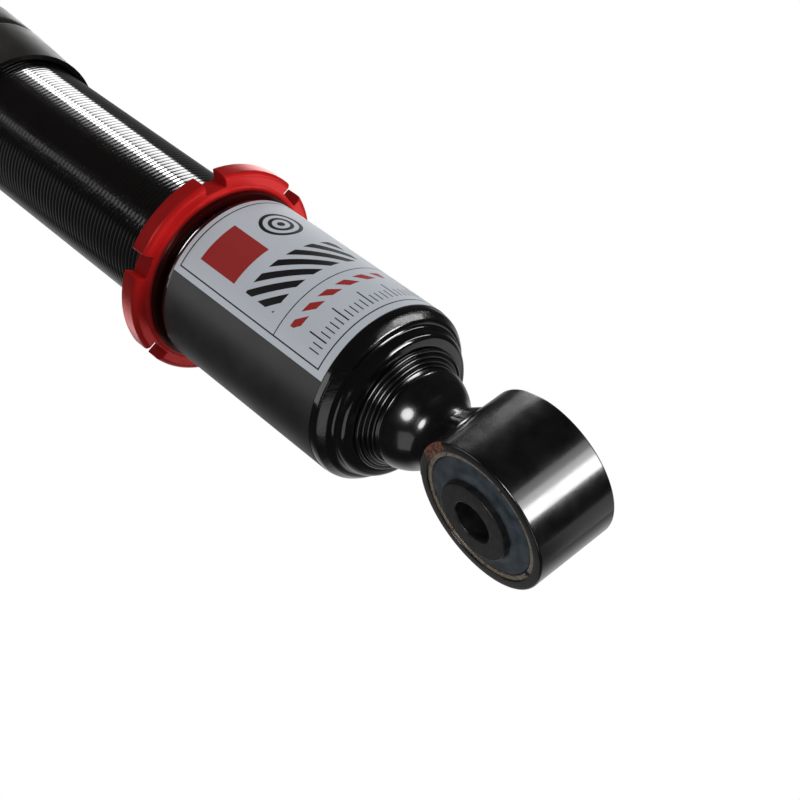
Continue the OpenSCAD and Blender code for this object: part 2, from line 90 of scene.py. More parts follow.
studio = {
    "lens": 74.467,
    "cameraPlace": (0.36709, -0.21722, -0.24194),
    "cameraTurn": (139.19159, 41.3581, 96.70641),
    "aim": (0, 0, 0.1),
    "backdrop": (-0.9133, 0.2848, 0.291),  # where the white backdrop stands, for what reflects it
    "backdropEdge": 0.62,  # cosine at its edge
    "backdropDark": 0.03, "backdropBright": 0.6,
    "ambient": 0.62,
    "floorRadius": 1.6, "floorDrop": 0.0005, "floorFade": (0.5, 1.5),
    "lamps": {
        # name: (direction, the way its width runs, distance, width, height, watts)
        "keyBox": ((0.45, 0.35, 0.82), (1, 0, 0), 2.5, 2.2, 2.2, 24),
        "topBox": ((0.256, 0.67, 0.7), (0.94, 0, -0.34), 2.5, 1.25, 0.8, 50),
        "threadBox": ((0.2334, 0.6121, 0.7556), (-0.814, -0.3, 0.498), 8, 3.5, 1.83, 151),
        "threadFade": ((-0.1098, 0.6357, 0.7641), (-0.211, -0.766, 0.607), 8, 2.81, 3.91, 3.2),
        "threadStrip": ((0.4354, 0.4894, 0.7556), (-0.830, -0.089, 0.551), 8, 2.2, 0.9, 162),
        "threadRow": ((0.5239, 0.3899, 0.7573), (-0.539, -0.523, 0.66), 8, 1.41, 1, 14.2),
        "edgeStrip": ((0.4682, -0.4478, 0.7617), (-0.722, 0.283, 0.631), 8, 1.68, 0.93, 5.5),
        "edgeGlow": ((-0.2075, -0.5359, 0.8184), (0.292, 0.76, 0.581), 8, 1.27, 7.02, 5.4),
        "ringFace": ((-0.6, 0.42, -0.69), (0.7, 0, -0.61), 2.5, 1, 0.9, 5),
        "ringUnder": ((0.3, 0.46, -0.84), (1, -0.65, 0), 2.5, 1.1, 1.1, 108),
        "ringSpot": ((0.7, -0.62, 0.2), (0, 1, 0), 2.5, 0.35, 0.35, 6),
        "ringCove": ((-0.1, 0.75, -0.65), (1, 0, 0), 2.5, 0.9, 0.6, 4),
        "lipStrip": ((0.24, -0.09, 0.96), (0.1, 1, 0), 2.5, 0.8, 0.5, 15),
        "chamferBox": ((0.42, 0.8, -0.39), (-0.67, 0.68, 0.2), 2.5, 1.6, 0.3, 12),
        "labelBox": ((-0.2, 0.66, 0.72), (1, 0, 0), 2.5, 1.6, 1.2, 12),
        "lowGlow": ((-0.2, -0.78, -0.6), (1, 0, 0), 2.5, 1.8, 1.6, 8),
        "ringTop": ((-0.25, 0.66, 0.7), (1, 0.3, 0), 2.5, 1.2, 0.6, 7),
        "ringWall": ((-0.62, -0.38, 0.69), (1, 0, 0), 2.5, 0.9, 0.9, 5),
        "bootBox": ((-0.3, 0.6, 0.74), (1, 0, 0), 2.5, 1.2, 1.2, 19),
        "sideBox": ((0.3, 0.47, -0.83), (0.94, 0, 0.34), 2.5, 0.7, 0.9, 26),
        "sideGlow": ((0.38, 0.47, -0.795), (0.9, 0, 0.43), 2.5, 1.15, 1.0, 16),
        "sideFade": ((0.47, 0.47, -0.747), (0.84, 0, 0.54), 2.5, 1.6, 1.1, 12),
        "spotDisk": ((0.69, -0.59, -0.43), (0, 1, 0), 2.5, 1.1, 1, 42),
        "faceBox": ((-0.55, 0.6, -0.58), (1, 0, -1), 2.5, 1.3, 1, 2),
        "wallBox": ((0.25, -0.72, 0.65), (1, 0, 0), 2.5, 1.4, 1.4, 9),
    },
    "plainLight": ["keyBox", "ringUnder"],  # light the plain colour only; the others are only mirrored
    "lightsOnly": {
        "threadedBody": ["threadBox", "threadFade", "threadStrip", "threadRow", "edgeStrip", "edgeGlow"],
        "lockRing": ["ringFace", "ringUnder", "ringSpot", "ringCove", "ringTop", "ringWall"],
        "rubberBoot": ["bootBox"],
        "bracketShell": ["lipStrip", "chamferBox"],
        "silverLabel": ["labelBox"],
    },
    "lightsAllBut": {
        "topBox": ["threadedBody", "rubberBoot", "silverLabel", "lockRing", "bracketShell", "stemWeld"],
        "wallBox": ["threadedBody", "lockRing", "eyeStem"],
        "spotDisk": ["lockRing", "bracketShell"],
        "keyBox": ["lockRing"],
        "lowGlow": ["lockRing", "rubberBoot", "threadedBody"],
        "sideBox": ["lockRing", "rubberBoot", "stemWeld"],
        "sideGlow": ["lockRing", "rubberBoot"],
        "sideFade": ["lockRing", "rubberBoot", "eyeStem"],
        "faceBox": ["lockRing", "rubberBoot"],
    },
    "shinesThrough": {"lipStrip": ["lockRing"]},  # pieces that cast no shadow from that lamp
}


def makeCamera():
    camera = bpy.data.objects.new("camera", bpy.data.cameras.new("camera"))
    camera.data.lens = studio["lens"]
    camera.data.sensor_width = 36
    camera.data.clip_start = 0.01
    camera.location = studio["cameraPlace"]
    camera.rotation_euler = [math.radians(a) for a in studio["cameraTurn"]]
    scene.collection.objects.link(camera)
    scene.camera = camera


def makeLamps():
    aim = Vector(studio["aim"])
    for name, (direction, along, distance, width, height, watts) in studio["lamps"].items():
        light = bpy.data.lights.new(name, "AREA")
        light.shape = "ELLIPSE" if "Disk" in name else "RECTANGLE"
        light.size = width
        light.size_y = height
        light.energy = watts
        lamp = bpy.data.objects.new(name, light)
        back = Vector(direction).normalized()
        across = (Vector(along) - back * back.dot(Vector(along))).normalized()
        lamp.location = aim + back * distance
        lamp.rotation_euler = Matrix((across, back.cross(across), back)).transposed().to_euler()
        lamp.visible_diffuse = name in studio["plainLight"]
        lamp.visible_glossy = name not in studio["plainLight"]
        lamp.visible_camera = False
        scene.collection.objects.link(lamp)


def aimLamps():  # some soft boxes are turned to one piece only, or away from some
    turned = [(lamp, [piece], "INCLUDE") for piece, lamps in studio["lightsOnly"].items() for lamp in lamps]
    turned += [(lamp, pieces, "EXCLUDE") for lamp, pieces in studio["lightsAllBut"].items()]
    for lamp, pieces, state in turned:
        receivers = bpy.data.collections.new(lamp + "Receivers")
        for piece in pieces:
            receivers.objects.link(bpy.data.objects[piece])
        for member in receivers.collection_objects:
            member.light_linking.link_state = state
        bpy.data.objects[lamp].light_linking.receiver_collection = receivers
    for lamp, pieces in studio["shinesThrough"].items():
        blockers = bpy.data.collections.new(lamp + "Blockers")
        for piece in pieces:
            blockers.objects.link(bpy.data.objects[piece])
        for member in blockers.collection_objects:
            member.light_linking.link_state = "EXCLUDE"
        bpy.data.objects[lamp].light_linking.blocker_collection = blockers


def makeWorld():
    world = bpy.data.worlds.new("studio")
    world.use_nodes = True
    scene.world = world
    tree = world.node_tree
    tree.nodes.clear()
    direction = addNode(tree, "ShaderNodeTexCoord").outputs["Generated"]
    facing = addNode(tree, "ShaderNodeVectorMath", {0: direction, 1: studio["backdrop"]},
                     operation="DOT_PRODUCT")
    backdrop = addNode(tree, "ShaderNodeMapRange",
                       {"Value": facing.outputs["Value"], "From Min": studio["backdropEdge"], "From Max": 1.0,
                        "To Min": studio["backdropDark"], "To Max": studio["backdropBright"]},
                       interpolation_type="SMOOTHSTEP")
    path = addNode(tree, "ShaderNodeLightPath")
    mirrored = addNode(tree, "ShaderNodeMath",
                       {0: path.outputs["Is Glossy Ray"], 1: path.outputs["Is Transmission Ray"]},
                       operation="MAXIMUM")
    unseen = addNode(tree, "ShaderNodeMix",
                     {0: mirrored.outputs[0], 2: studio["ambient"], 3: backdrop.outputs[0]})
    level = addNode(tree, "ShaderNodeMix", {0: path.outputs["Is Camera Ray"], 2: unseen.outputs[0], 3: 1.0})
    background = addNode(tree, "ShaderNodeBackground", {"Color": (1, 1, 1, 1), "Strength": level.outputs[0]})
    addNode(tree, "ShaderNodeOutputWorld", {"Surface": background.outputs[0]})


def makeFloor():  # pale, keeps the shadow, and fades into the white around it; from below it can't be seen
    bm = bmesh.new()
    bmesh.ops.create_circle(bm, cap_ends=True, segments=96, radius=studio["floorRadius"])
    bmesh.ops.translate(bm, verts=bm.verts, vec=(0, 0, cadBox[0][2] - studio["floorDrop"]))
    mesh = bpy.data.meshes.new("floor")
    bm.to_mesh(mesh)
    bm.free()
    floor = bpy.data.objects.new("floor", mesh)
    scene.collection.objects.link(floor)
    material = bpy.data.materials.new("paleFloor")
    material.use_nodes = True
    tree = material.node_tree
    tree.nodes.clear()
    away = distance(tree, addNode(tree, "ShaderNodeTexCoord").outputs["Object"])
    near, far = studio["floorFade"]
    fade = addNode(tree, "ShaderNodeMapRange", {"Value": away, "From Min": near, "From Max": far},
                   interpolation_type="SMOOTHSTEP").outputs[0]
    under = addNode(tree, "ShaderNodeNewGeometry").outputs["Backfacing"]
    clear = addNode(tree, "ShaderNodeMath", {0: fade, 1: under}, operation="MAXIMUM").outputs[0]
    pale = addNode(tree, "ShaderNodeBsdfDiffuse", {"Color": srgb("#f4f4f4")}).outputs[0]
    through = addNode(tree, "ShaderNodeBsdfTransparent").outputs[0]
    mixed = addNode(tree, "ShaderNodeMixShader", {0: clear, 1: pale, 2: through}).outputs[0]
    addNode(tree, "ShaderNodeOutputMaterial", {"Surface": mixed})
    mesh.materials.append(material)
    floor.visible_shadow = False  # lamps that stand lower than the floor still light the part
    floor.visible_glossy = False
    floor.visible_diffuse = False
    floor.visible_transmission = False


makeCamera()
makeLamps()
makeWorld()
makeFloor()
print("studio ready")


def newMaterial(name, **values):  # a Principled material with its plain values set
    material = bpy.data.materials.new(name)
    material.use_nodes = True
    shader = material.node_tree.nodes["Principled BSDF"]
    for key, value in values.items():
        shader.inputs[key.replace("_", " ")].default_value = value
    return material, material.node_tree, shader


def inMillimetres(tree, scale=(1, 1, 1)):  # object coordinates, 1 unit to the millimetre
    source = addNode(tree, "ShaderNodeTexCoord").outputs["Object"]
    size = tuple(s / mm for s in scale)
    return addNode(tree, "ShaderNodeMapping", {"Vector": source, "Scale": size}).outputs[0]


def radiusFrom(tree, axis):  # distance from the part's axis, or from the eye's, in mm
    return distance(tree, inMillimetres(tree, (1, 1, 0) if axis == "Z" else (1, 0, 1)))


def noiseAt(tree, place, size, detail=3.0, roughness=0.55):  # size is the grain's width in mm
    return addNode(tree, "ShaderNodeTexNoise", {"Vector": place, "Scale": 1 / size, "Detail": detail,
                                                "Roughness": roughness}).outputs["Fac"]


def toRange(tree, value, fromLow, fromHigh, low=0.0, high=1.0):
    return addNode(tree, "ShaderNodeMapRange", {"Value": value, "From Min": fromLow, "From Max": fromHigh,
                                                "To Min": low, "To Max": high}).outputs[0]


def calc(tree, operation, first, second=0.0):
    return addNode(tree, "ShaderNodeMath", {0: first, 1: second}, operation=operation).outputs[0]


def colourMix(tree, factor, first, second):
    node = addNode(tree, "ShaderNodeMix", data_type="RGBA")
    for index, value in ((0, factor), (6, first), (7, second)):
        if isinstance(value, bpy.types.NodeSocket):
            tree.links.new(value, node.inputs[index])
        else:
            node.inputs[index].default_value = srgb(value) if isinstance(value, str) else value
    return node.outputs[2]


def link(tree, shader, **sockets):
    for key, socket in sockets.items():
        tree.links.new(socket, shader.inputs[key.replace("_", " ")])


def bump(tree, height, depth, under=None):  # depth in mm
    inputs = {"Height": height, "Distance": depth * mm}
    if under is not None:
        inputs["Normal"] = under
    return addNode(tree, "ShaderNodeBump", inputs).outputs[0]


rustPatch = {
    "place": (15.6, -15.2, 18.2), "edge": (7.5, 5.5),  # where it ends and where it is full, from its middle
    "face": (-14.2, -15),  # it stays on the eye's front face
    "grain": 1.9,
}


def glossBlackPaint():  # electrocoated and painted steel: deep black, faint orange peel, a rust patch
    material, tree, shader = newMaterial("glossBlackPaint", Roughness=0.2, IOR=1.5, Coat_Weight=0.5,
                                         Coat_Roughness=0.1)
    place = inMillimetres(tree)
    dust = noiseAt(tree, place, 6, 6)
    near = toRange(tree, distance(tree, place, rustPatch["place"]), *rustPatch["edge"])
    side = toRange(tree, split(tree, place)["Y"], *rustPatch["face"])
    flakes = toRange(tree, noiseAt(tree, place, rustPatch["grain"], 5), 0.44, 0.5)
    rust = calc(tree, "MULTIPLY", calc(tree, "MULTIPLY", flakes, side), near)
    clean = colourMix(tree, toRange(tree, dust, 0.35, 0.75), "#070708", "#121213")
    rusty = colourMix(tree, toRange(tree, noiseAt(tree, place, 0.8, 3), 0.4, 0.6), "#4a2413", "#9c4a1a")
    smooth = toRange(tree, dust, 0.3, 0.7, 0.17, 0.25)
    link(tree, shader, Base_Color=colourMix(tree, rust, clean, rusty),
         Roughness=calc(tree, "ADD", smooth, calc(tree, "MULTIPLY", rust, 0.5)),
         Normal=bump(tree, noiseAt(tree, place, 1.8, 2), 0.01))
    return material


def turnedBlackPaint():  # the same paint, over slanted tool marks on the chamfer
    material, tree, shader = newMaterial("turnedBlackPaint", Roughness=0.16, IOR=1.5, Coat_Weight=0.5,
                                         Coat_Roughness=0.07)
    place = inMillimetres(tree)
    parts = split(tree, place)
    height = parts["Z"]
    turn = calc(tree, "ARCTAN2", parts["Y"], parts["X"])
    slant = calc(tree, "ADD", calc(tree, "MULTIPLY", turn, 30), calc(tree, "MULTIPLY", height, 1.1))
    along = addNode(tree, "ShaderNodeCombineXYZ",
                    {"X": slant, "Z": calc(tree, "MULTIPLY", height, 0.12)}).outputs[0]
    scratch = noiseAt(tree, along, 0.75, 3, 0.7)
    chamfer = calc(tree, "MULTIPLY", toRange(tree, height, 53.7, 54.1), toRange(tree, height, 56.7, 56.4))
    marks = calc(tree, "MULTIPLY", scratch, chamfer)
    fine = bump(tree, noiseAt(tree, place, 2.2, 2), 0.008)
    link(tree, shader, Base_Color=colourMix(tree, noiseAt(tree, place, 6, 5), "#060607", "#101011"),
         Roughness=toRange(tree, marks, 0.2, 0.8, 0.12, 0.2),
         Normal=bump(tree, marks, 0.1, fine))
    return material


def blackThreadFinish():  # oiled black thread: satin crests, darker in the roots
    material, tree, shader = newMaterial("blackThreadFinish", Roughness=0.2, IOR=1.6)
    place = inMillimetres(tree)
    radius = radiusFrom(tree, "Z")
    crest = toRange(tree, radius, 25, 25.9)
    cloud = noiseAt(tree, place, 8, 4)
    tone = calc(tree, "MULTIPLY", crest, toRange(tree, cloud, 0.2, 0.8, 0.6, 1.0))
    link(tree, shader, Base_Color=colourMix(tree, tone, "#050505", "#110f0e"),
         Roughness=toRange(tree, cloud, 0.3, 0.7, 0.09, 0.13),
         Normal=bump(tree, cloud, 0.006))
    return material


def redAnodised():  # bead blasted aluminium in deep red anodising: even satin, with painted shade darkening the cove's corner
    material, tree, shader = newMaterial("redAnodised", Metallic=0.5, Roughness=0.34)
    place = inMillimetres(tree)
    cloud = noiseAt(tree, place, 12, 4)
    blast = noiseAt(tree, place, 0.22, 2)
    uneven = calc(tree, "ADD", split(tree, place)["Z"], calc(tree, "MULTIPLY", cloud, 0.5))
    # painted shade: the cove's lower corner is darkened towards the shell, with a noisy edge
    paintedCoveShade = toRange(tree, uneven, 142.7, 141.6)
    red = colourMix(tree, toRange(tree, cloud, 0.3, 0.7), "#a81414", "#b81a1a")
    link(tree, shader, Base_Color=colourMix(tree, paintedCoveShade, red, "#2a0404"),
         Roughness=toRange(tree, cloud, 0.3, 0.7, 0.28, 0.37),
         Normal=bump(tree, blast, 0.008))
    return material


labelMarks = {
    # rectangles are (left, right, low, high), in mm on the label
    "frame": [(2.2, 2.7, 3, 74.2), (2.2, 70, 3, 3.5), (2.2, 70, 73.7, 74.2), (2.2, 70, 25, 25.4)],
    "ticks": (6, 64, 6, 10.5), "longTicks": (6, 64, 6, 14),
    "bars": (8, 46, 30, 44), "lozenges": (8, 46, 18, 21.5), "barPitch": 7, "barShare": 0.56,
    "square": (8, 24, 50, 68),
    "target": (36, 59, 0), "targetRadius": 9, "targetPitch": 3,
}


def silverLabelFilm():  # satin silver film with generic black and red marks, on the sheet's own millimetres
    material, tree, shader = newMaterial("silverLabelFilm", Metallic=0.15, Roughness=0.5,
                                         Specular_IOR_Level=0.3)
    uv = addNode(tree, "ShaderNodeUVMap", uv_map="sheet").outputs[0]
    parts = split(tree, uv)
    across, up = parts["X"], parts["Y"]

    def between(value, low, high):
        above, below = calc(tree, "GREATER_THAN", value, low), calc(tree, "LESS_THAN", value, high)
        return calc(tree, "MULTIPLY", above, below)

    def box(left, right, low, high):  # 1 inside a rectangle
        return calc(tree, "MULTIPLY", between(across, left, right), between(up, low, high))

    def anyOf(*masks):
        total = masks[0]
        for other in masks[1:]:
            total = calc(tree, "MAXIMUM", total, other)
        return total

    def stripes(value, pitch, share):  # 1 on a share of each pitch
        return calc(tree, "LESS_THAN", calc(tree, "MODULO", value, pitch), pitch * share)

    marks = labelMarks
    frameLines = anyOf(*[box(*sides) for sides in marks["frame"]])
    ticks = calc(tree, "MULTIPLY", stripes(across, 2, 0.2), box(*marks["ticks"]))
    longTicks = calc(tree, "MULTIPLY", stripes(across, 10, 0.05), box(*marks["longTicks"]))
    slanting = stripes(calc(tree, "ADD", across, up), marks["barPitch"], marks["barShare"])
    bars = calc(tree, "MULTIPLY", slanting, box(*marks["bars"]))
    lozenges = calc(tree, "MULTIPLY", slanting, box(*marks["lozenges"]))
    away = distance(tree, uv, marks["target"])
    target = calc(tree, "MULTIPLY", stripes(away, marks["targetPitch"], 0.45),
                  calc(tree, "LESS_THAN", away, marks["targetRadius"]))
    black = anyOf(frameLines, ticks, longTicks, bars, target)
    red = anyOf(lozenges, box(*marks["square"]))
    grain = noiseAt(tree, inMillimetres(tree), 0.25, 2)
    base = colourMix(tree, toRange(tree, grain, 0.3, 0.7), "#bcc2ca", "#c8cdd4")
    printed = colourMix(tree, black, base, "#16161a")
    printed = colourMix(tree, red, printed, "#9c1410")
    link(tree, shader, Base_Color=printed, Roughness=toRange(tree, grain, 0.3, 0.7, 0.46, 0.54),
         Metallic=toRange(tree, anyOf(black, red), 0, 1, 0.15, 0.0),
         Normal=bump(tree, noiseAt(tree, inMillimetres(tree), 8, 2), 0.05))
    return material


def blackFilm():  # the wrap's satin black film
    material, tree, shader = newMaterial("blackFilm", Roughness=0.42, IOR=1.5)
    place = inMillimetres(tree)
    soft = noiseAt(tree, place, 14, 3)
    link(tree, shader, Base_Color=colourMix(tree, toRange(tree, soft, 0.3, 0.7), "#1e1e1e", "#29292a"),
         Roughness=toRange(tree, soft, 0.3, 0.7, 0.36, 0.46), Normal=bump(tree, soft, 0.03))
    return material


def rawSteelRim():  # bare sleeve steel between rubber and paint: sanded, beige with a start of rust
    material, tree, shader = newMaterial("rawSteelRim", Metallic=0.5, Roughness=0.5)
    place = inMillimetres(tree)
    patches = noiseAt(tree, place, 3.5, 5, 0.65)
    grit = noiseAt(tree, place, 0.5, 3)
    steel = colourMix(tree, toRange(tree, grit, 0.3, 0.7), "#6f675c", "#a89c8b")
    rusty = colourMix(tree, toRange(tree, patches, 0.56, 0.68), steel, "#7a3d18")
    painted = colourMix(tree, toRange(tree, patches, 0.4, 0.34), rusty, "#141312")
    link(tree, shader, Base_Color=painted, Roughness=toRange(tree, grit, 0.3, 0.7, 0.35, 0.6),
         Normal=bump(tree, grit, 0.05))
    return material


def bushRubber():  # moulded natural rubber: dull blue grey bloom
    material, tree, shader = newMaterial("bushRubber", Roughness=0.55, IOR=1.52)
    place = inMillimetres(tree)
    bloom = noiseAt(tree, place, 5, 5)
    fine = noiseAt(tree, place, 0.4, 3)
    link(tree, shader, Base_Color=colourMix(tree, toRange(tree, bloom, 0.35, 0.7), "#232e37", "#3c4a56"),
         Roughness=toRange(tree, bloom, 0.3, 0.7, 0.42, 0.62), Normal=bump(tree, fine, 0.03))
    return material


def blackSleeve():  # black oxide on a turned sleeve: dark satin with rings on its face
    material, tree, shader = newMaterial("blackSleeve", Metallic=0.4, Roughness=0.36)
    rings = addNode(tree, "ShaderNodeCombineXYZ", {"X": radiusFrom(tree, "Y")}).outputs[0]
    lines = noiseAt(tree, rings, 0.3, 3)
    spots = noiseAt(tree, inMillimetres(tree), 2.5, 4)
    link(tree, shader, Base_Color=colourMix(tree, toRange(tree, spots, 0.4, 0.75), "#1c1c1d", "#343434"),
         Roughness=toRange(tree, lines, 0.2, 0.8, 0.3, 0.46), Normal=bump(tree, lines, 0.02))
    return material


def bootRubber():  # thin moulded rubber: dark, soft sheen, light dust, and painted shade on its downward-facing underside
    material, tree, shader = newMaterial("bootRubber", Roughness=0.5, Specular_IOR_Level=0.3)
    place = inMillimetres(tree)
    dust = noiseAt(tree, place, 10, 6)
    fine = noiseAt(tree, place, 0.7, 3)
    facing = split(tree, addNode(tree, "ShaderNodeTexCoord").outputs["Normal"])
    under = toRange(tree, facing["Z"], -0.5, -0.75)  # painted shade: faces turned downwards, the mouth's underside, are painted black
    skin = colourMix(tree, toRange(tree, dust, 0.35, 0.75), "#282725", "#363432")
    link(tree, shader, Base_Color=colourMix(tree, under, skin, "#060606"),
         Roughness=toRange(tree, dust, 0.3, 0.7, 0.44, 0.56), Normal=bump(tree, fine, 0.03))
    return material


def brightMetal(name, dark, light, rough, grainSize, depth):  # bare metals, with the grain of their making
    material, tree, shader = newMaterial(name, Metallic=1.0, Roughness=rough)
    place = inMillimetres(tree)
    cloud = noiseAt(tree, place, 6, 4)
    grain = noiseAt(tree, inMillimetres(tree, (1, 1, 6)), grainSize, 3)
    link(tree, shader, Base_Color=colourMix(tree, toRange(tree, cloud, 0.3, 0.7), dark, light),
         Roughness=toRange(tree, grain, 0.3, 0.7, rough * 0.75, rough * 1.25),
         Normal=bump(tree, grain, depth))
    return material


def dullPolymer(name, dark, light, rough, cell, depth):  # seals, bands and foam
    material, tree, shader = newMaterial(name, Roughness=rough, IOR=1.5)
    place = inMillimetres(tree)
    cloud = noiseAt(tree, place, 4, 4)
    fine = noiseAt(tree, place, cell, 3)
    link(tree, shader, Base_Color=colourMix(tree, toRange(tree, cloud, 0.3, 0.7), dark, light),
         Roughness=toRange(tree, fine, 0.3, 0.7, rough * 0.85, rough * 1.15), Normal=bump(tree, fine, depth))
    return material


paint = glossBlackPaint()
turnedPaint = turnedBlackPaint()
threadFinish = blackThreadFinish()
redRing = redAnodised()
labelFilm = silverLabelFilm()
wrapFilm = blackFilm()
sleeveRim = rawSteelRim()
blueRubber = bushRubber()
sleeveBlack = blackSleeve()
greyRubber = bootRubber()
blackPlate = dullPolymer("blackAnodisedPlate", "#111113", "#1c1c1e", 0.3, 0.6, 0.012)
zincSteel = brightMetal("zincPlatedSteel", "#9aa0a6", "#b9bec4", 0.26, 0.6, 0.01)
plainSteel = brightMetal("groundSteel", "#8f9296", "#aeb2b6", 0.3, 0.4, 0.01)
aluminium = brightMetal("turnedAluminium", "#a6a8aa", "#c4c6c8", 0.32, 0.5, 0.012)
chrome = brightMetal("hardChrome", "#c4c6ca", "#d6d8dc", 0.1, 1.2, 0.002)
bearingSteel = brightMetal("polishedBearingSteel", "#b8babe", "#cccfd3", 0.14, 1.0, 0.003)
brass = brightMetal("brass", "#b08a3e", "#c8a24e", 0.3, 0.6, 0.01)
bronze = brightMetal("sinteredBronze", "#8a6238", "#a67c4c", 0.42, 0.4, 0.02)
weldPaint = dullPolymer("paintedWeldBead", "#060607", "#0f0f10", 0.3, 1.2, 0.05)
sealRubber = dullPolymer("nitrileSeal", "#16171a", "#222428", 0.45, 0.3, 0.01)
bandPolymer = dullPolymer("filledSlideBand", "#4a3020", "#64442c", 0.5, 0.4, 0.01)
stopFoam = dullPolymer("microcellularFoam", "#c4a850", "#dcc478", 0.8, 0.35, 0.12)
print("materials ready")


def makePiece(bm, name, material, body, replacing=(), sharp=38):
    bmesh.ops.remove_doubles(bm, verts=bm.verts, dist=2e-6)
    bmesh.ops.recalc_face_normals(bm, faces=bm.faces)
    return putPiece(bm, name, material, body, replacing, sharp)


def putPiece(bm, name, material, body, replacing=(), sharp=38):
    mesh = bpy.data.meshes.new(name)
    bm.to_mesh(mesh)
    bm.free()
    mesh.materials.append(material)
    mesh.polygons.foreach_set("use_smooth", [True] * len(mesh.polygons))
    mesh.set_sharp_from_angle(angle=math.radians(sharp))
    piece = bpy.data.objects.new(name, mesh)
    scene.collection.objects.link(piece)
    if body:
        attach(piece, body)
    if replacing:
        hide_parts(*replacing)
    if body:
        evenNormals(piece)
    return piece


def evenNormals(piece):  # broad faces stay flat in the light next to small bevels
    weighted = piece.modifiers.new("evenNormals", "WEIGHTED_NORMAL")
    weighted.keep_sharp = True
    weighted.weight = 80


def onCircle(vert, radius, height):
    return abs(math.hypot(vert.co.x, vert.co.y) - radius * mm) < 1e-5 and abs(vert.co.z - height * mm) < 1e-5


def lathe(corners, steps=144, closed=True, segments=3):
    # spins a half section about Z; a corner is (radius, height, bevel) in mm
    bm = bmesh.new()
    chain = [bm.verts.new((radius * mm, 0, height * mm)) for radius, height, soft in corners]
    pairs = list(zip(chain, chain[1:])) + ([(chain[-1], chain[0])] if closed else [])
    edges = [bm.edges.new(pair) for pair in pairs]
    bmesh.ops.spin(bm, geom=chain + edges, cent=(0, 0, 0), axis=(0, 0, 1), angle=2 * math.pi, steps=steps,
                   use_merge=True)
    bmesh.ops.remove_doubles(bm, verts=bm.verts, dist=2e-6)
    for radius, height, soft in corners:
        if soft:
            rounded = [e for e in bm.edges if all(onCircle(v, radius, height) for v in e.verts)]
            bmesh.ops.bevel(bm, geom=rounded, offset=soft * mm, segments=segments, profile=0.5,
                            affect="EDGES", material=-1, clamp_overlap=True)
    bmesh.ops.recalc_face_normals(bm, faces=bm.faces)
    return bm


def layOnY(bm):  # turns a piece that was spun about Z to the eye's axis
    bmesh.ops.rotate(bm, verts=bm.verts, cent=(0, 0, 0), matrix=Matrix.Rotation(math.pi / 2, 3, "X"))
    return bm


eye = {
    "outer": 25.6, "inner": 22.3, "half": 15.2, "edge": 0.6,
    "sleeveInner": 20.8, "sleeveHalf": 14.8,
    "rubber": [(20.75, -13.9, 0), (20.2, -14.6, 0.3), (16, -14.7, 0.6), (14.25, -15.7, 0.3),
               (13.56, -15.7, 0)],
    "boltSleeve": [(7.1, -18, 0.4), (13.5, -18, 0.4), (13.5, 18, 0.4), (7.1, 18, 0.4)],
}


def makeEye():
    e = eye
    outside = lathe([(e["inner"], -e["half"], 0.25), (e["outer"], -e["half"], e["edge"]),
                     (e["outer"], e["half"], e["edge"]), (e["inner"], e["half"], 0.25)], 192)
    makePiece(layOnY(outside), "eyeRing", paint, "lower_mount", ["eye_ring"])
    sleeve = lathe([(e["sleeveInner"], -e["sleeveHalf"], 0.2), (e["inner"], -e["sleeveHalf"], 0.2),
                    (e["inner"], e["sleeveHalf"], 0.2), (e["sleeveInner"], e["sleeveHalf"], 0.2)], 192)
    makePiece(layOnY(sleeve), "eyeSleeve", sleeveRim, "lower_mount",
              ["bush_outer_sleeve"])
    half = e["rubber"]
    rubber = lathe(half + [(radius, -height, soft) for radius, height, soft in reversed(half)], 160)
    makePiece(layOnY(rubber), "eyeRubber", blueRubber, "lower_mount", ["bush_rubber"])
    makePiece(layOnY(lathe(e["boltSleeve"], 160)), "boltSleeve", sleeveBlack, "bush_sleeve",
              ["bush_inner_sleeve"])


def arc(centreX, centreY, radius, start, end, steps):  # points of an arc in the section, with no bevel
    turns = [math.radians(start + (end - start) * i / steps) for i in range(steps + 1)]
    return [(centreX + radius * math.cos(t), centreY + radius * math.sin(t), 0) for t in turns]


def eased(points, times):  # cuts the corners of a line of section points
    for i in range(times):
        cut = [points[0]]
        for (nearR, nearH, _), (farR, farH, _) in zip(points, points[1:]):
            for share in (0.25, 0.75):
                cut.append((nearR + share * (farR - nearR), nearH + share * (farH - nearH), 0))
        points = cut + [points[-1]]
    return points


stem = {
    "foot": [(0, 19, 0), (11.7, 19, 0)],
    "neck": (19.2, 28.6, 7.5, 180, 139, 10),
    "boss": (0.8, 44.8, 17, -41, -12.3, 14),
    "groove": [(17.3, 41.8, 0), (15.8, 42.3, 0.3), (15.8, 43.6, 0.3)],
    "ripples": [(17.2, 44.9), (18.1, 46.1), (19.3, 47.1), (20.9, 47.8)], "rippleRadius": 0.75,
    "top": [(20.9, 48.6, 0), (17, 48.6, 0), (17, 59, 0), (0, 59, 0)],
    "sink": 0.4,  # how far the neck's foot goes into the eye's wall
    "weld": [(11.2, -1.4, 0), (14.9, -1.4, 0), (14.9, -0.2, 0), (13.9, 1.1, 0), (12.9, 2.4, 0),
             (12.2, 3.6, 0), (11.2, 4.8, 0)],
    "beads": 26, "beadHeight": 0.15, "beadRough": 0.8, "beadScale": 300,
}


def saddle(x):  # height of the eye's outside above its axis
    return math.sqrt((eye["outer"] * mm) ** 2 - x * x)


